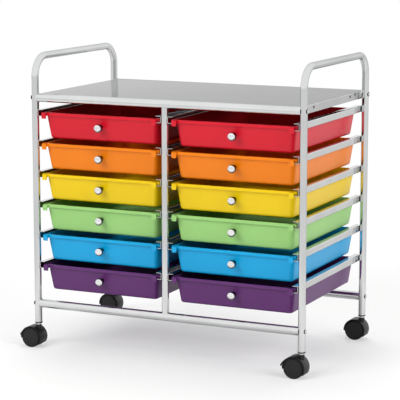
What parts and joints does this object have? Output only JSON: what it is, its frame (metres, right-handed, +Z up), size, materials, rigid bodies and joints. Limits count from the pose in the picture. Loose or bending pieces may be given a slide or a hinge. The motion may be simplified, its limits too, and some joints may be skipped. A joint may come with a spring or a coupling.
{
  "type": "utility cart",
  "caption": "Rolling utility cart: chromed tube frame with a sheet top between two end handles, two columns of coloured slide-out trays on C-channel rails, hooded casters.",
  "frame": {"origin": "on the floor, under the centre of the whole cart's bounding box", "axes": "+X to the cart's right as seen from the drawers' fronts, +Y to the back, +Z up"},
  "size_m": [0.7058, 0.41, 0.6712],
  "materials": {
    "chrome": "bright chrome plate",
    "top_sheet": "bright plated sheet",
    "knob_metal": "polished",
    "fasteners": "plated",
    "steel": "turned",
    "black_plastic": "moulded, low gloss",
    "red_plastic": "moulded, satin gloss",
    "orange_plastic": "moulded, satin gloss",
    "yellow_plastic": "moulded, satin gloss",
    "green_plastic": "moulded, satin gloss",
    "blue_plastic": "moulded, satin gloss",
    "purple_plastic": "moulded, satin gloss"
  },
  "bodies": {
    "frame": {"left_end_frame": "chrome", "right_end_frame": "chrome", "top_front_bar": "chrome", "top_rear_bar": "chrome", "bottom_front_bar": "chrome", "bottom_rear_bar": "chrome", "middle_posts": "chrome", "left_rails": "chrome", "middle_left_rails": "chrome", "middle_right_rails": "chrome", "right_rails": "chrome", "top_panel": "top_sheet", "panel_stiffeners": "top_sheet", "apron_rivets": "fasteners", "frame_bolts": "fasteners", "bar_end_plugs": "steel", "leg_sockets": "black_plastic", "caster_stems": "steel"},
    "red_left": {"red_drawer_left": "red_plastic", "red_knob_left": "knob_metal"},
    "red_right": {"red_drawer_right": "red_plastic", "red_knob_right": "knob_metal"},
    "orange_left": {"orange_drawer_left": "orange_plastic", "orange_knob_left": "knob_metal"},
    "orange_right": {"orange_drawer_right": "orange_plastic", "orange_knob_right": "knob_metal"},
    "yellow_left": {"yellow_drawer_left": "yellow_plastic", "yellow_knob_left": "knob_metal"},
    "yellow_right": {"yellow_drawer_right": "yellow_plastic", "yellow_knob_right": "knob_metal"},
    "green_left": {"green_drawer_left": "green_plastic", "green_knob_left": "knob_metal"},
    "green_right": {"green_drawer_right": "green_plastic", "green_knob_right": "knob_metal"},
    "blue_left": {"blue_drawer_left": "blue_plastic", "blue_knob_left": "knob_metal"},
    "blue_right": {"blue_drawer_right": "blue_plastic", "blue_knob_right": "knob_metal"},
    "purple_left": {"purple_drawer_left": "purple_plastic", "purple_knob_left": "knob_metal"},
    "purple_right": {"purple_drawer_right": "purple_plastic", "purple_knob_right": "knob_metal"},
    "front_left_caster": {"front_left_hood": "black_plastic", "front_left_axle": "steel"},
    "front_left_front_wheel": {"front_left_front_wheel": "black_plastic"},
    "front_left_rear_wheel": {"front_left_rear_wheel": "black_plastic"},
    "front_left_brake_lever": {"front_left_brake_lever": "black_plastic"},
    "front_right_caster": {"front_right_hood": "black_plastic", "front_right_axle": "steel"},
    "front_right_front_wheel": {"front_right_front_wheel": "black_plastic"},
    "front_right_rear_wheel": {"front_right_rear_wheel": "black_plastic"},
    "front_right_brake_lever": {"front_right_brake_lever": "black_plastic"},
    "rear_left_caster": {"rear_left_hood": "black_plastic", "rear_left_axle": "steel"},
    "rear_left_front_wheel": {"rear_left_front_wheel": "black_plastic"},
    "rear_left_rear_wheel": {"rear_left_rear_wheel": "black_plastic"},
    "rear_right_caster": {"rear_right_hood": "black_plastic", "rear_right_axle": "steel"},
    "rear_right_front_wheel": {"rear_right_front_wheel": "black_plastic"},
    "rear_right_rear_wheel": {"rear_right_rear_wheel": "black_plastic"}
  },
  "joints": [
    {"name": "red_left_slide", "type": "slide", "parent": "frame", "child": "red_left", "axis": [0, -1, 0], "range_m": [0, 0.28]},
    {"name": "red_right_slide", "type": "slide", "parent": "frame", "child": "red_right", "axis": [0, -1, 0], "range_m": [0, 0.28]},
    {"name": "orange_left_slide", "type": "slide", "parent": "frame", "child": "orange_left", "axis": [0, -1, 0], "range_m": [0, 0.28]},
    {"name": "orange_right_slide", "type": "slide", "parent": "frame", "child": "orange_right", "axis": [0, -1, 0], "range_m": [0, 0.28]},
    {"name": "yellow_left_slide", "type": "slide", "parent": "frame", "child": "yellow_left", "axis": [0, -1, 0], "range_m": [0, 0.28]},
    {"name": "yellow_right_slide", "type": "slide", "parent": "frame", "child": "yellow_right", "axis": [0, -1, 0], "range_m": [0, 0.28]},
    {"name": "green_left_slide", "type": "slide", "parent": "frame", "child": "green_left", "axis": [0, -1, 0], "range_m": [0, 0.28]},
    {"name": "green_right_slide", "type": "slide", "parent": "frame", "child": "green_right", "axis": [0, -1, 0], "range_m": [0, 0.28]},
    {"name": "blue_left_slide", "type": "slide", "parent": "frame", "child": "blue_left", "axis": [0, -1, 0], "range_m": [0, 0.28]},
    {"name": "blue_right_slide", "type": "slide", "parent": "frame", "child": "blue_right", "axis": [0, -1, 0], "range_m": [0, 0.28]},
    {"name": "purple_left_slide", "type": "slide", "parent": "frame", "child": "purple_left", "axis": [0, -1, 0], "range_m": [0, 0.28]},
    {"name": "purple_right_slide", "type": "slide", "parent": "frame", "child": "purple_right", "axis": [0, -1, 0], "range_m": [0, 0.28]},
    {"name": "front_left_swivel", "type": "hinge", "parent": "frame", "child": "front_left_caster", "pos_m": [-0.3049, -0.188, 0.043], "axis": [0, 0, 1], "continuous": true},
    {"name": "front_left_front_wheel_spin", "type": "hinge", "parent": "front_left_caster", "child": "front_left_front_wheel", "pos_m": [-0.3179, -0.188, 0.023], "axis": [0, 1, 0], "continuous": true},
    {"name": "front_left_rear_wheel_spin", "type": "hinge", "parent": "front_left_caster", "child": "front_left_rear_wheel", "pos_m": [-0.3179, -0.188, 0.023], "axis": [0, 1, 0], "continuous": true},
    {"name": "front_left_brake", "type": "hinge", "parent": "front_left_caster", "child": "front_left_brake_lever", "pos_m": [-0.3324, -0.188, 0.032], "axis": [0, -1, 0], "range_deg": [0, 12]},
    {"name": "front_right_swivel", "type": "hinge", "parent": "frame", "child": "front_right_caster", "pos_m": [0.3401, -0.188, 0.043], "axis": [0, 0, 1], "continuous": true},
    {"name": "front_right_front_wheel_spin", "type": "hinge", "parent": "front_right_caster", "child": "front_right_front_wheel", "pos_m": [0.3271, -0.188, 0.023], "axis": [0, 1, 0], "continuous": true},
    {"name": "front_right_rear_wheel_spin", "type": "hinge", "parent": "front_right_caster", "child": "front_right_rear_wheel", "pos_m": [0.3271, -0.188, 0.023], "axis": [0, 1, 0], "continuous": true},
    {"name": "front_right_brake", "type": "hinge", "parent": "front_right_caster", "child": "front_right_brake_lever", "pos_m": [0.3126, -0.188, 0.032], "axis": [0, -1, 0], "range_deg": [0, 12]},
    {"name": "rear_left_swivel", "type": "hinge", "parent": "frame", "child": "rear_left_caster", "pos_m": [-0.3049, 0.188, 0.043], "axis": [0, 0, 1], "continuous": true},
    {"name": "rear_left_front_wheel_spin", "type": "hinge", "parent": "rear_left_caster", "child": "rear_left_front_wheel", "pos_m": [-0.3179, 0.188, 0.023], "axis": [0, 1, 0], "continuous": true},
    {"name": "rear_left_rear_wheel_spin", "type": "hinge", "parent": "rear_left_caster", "child": "rear_left_rear_wheel", "pos_m": [-0.3179, 0.188, 0.023], "axis": [0, 1, 0], "continuous": true},
    {"name": "rear_right_swivel", "type": "hinge", "parent": "frame", "child": "rear_right_caster", "pos_m": [0.3401, 0.188, 0.043], "axis": [0, 0, 1], "continuous": true},
    {"name": "rear_right_front_wheel_spin", "type": "hinge", "parent": "rear_right_caster", "child": "rear_right_front_wheel", "pos_m": [0.3271, 0.188, 0.023], "axis": [0, 1, 0], "continuous": true},
    {"name": "rear_right_rear_wheel_spin", "type": "hinge", "parent": "rear_right_caster", "child": "rear_right_rear_wheel", "pos_m": [0.3271, 0.188, 0.023], "axis": [0, 1, 0], "continuous": true}
  ]
}
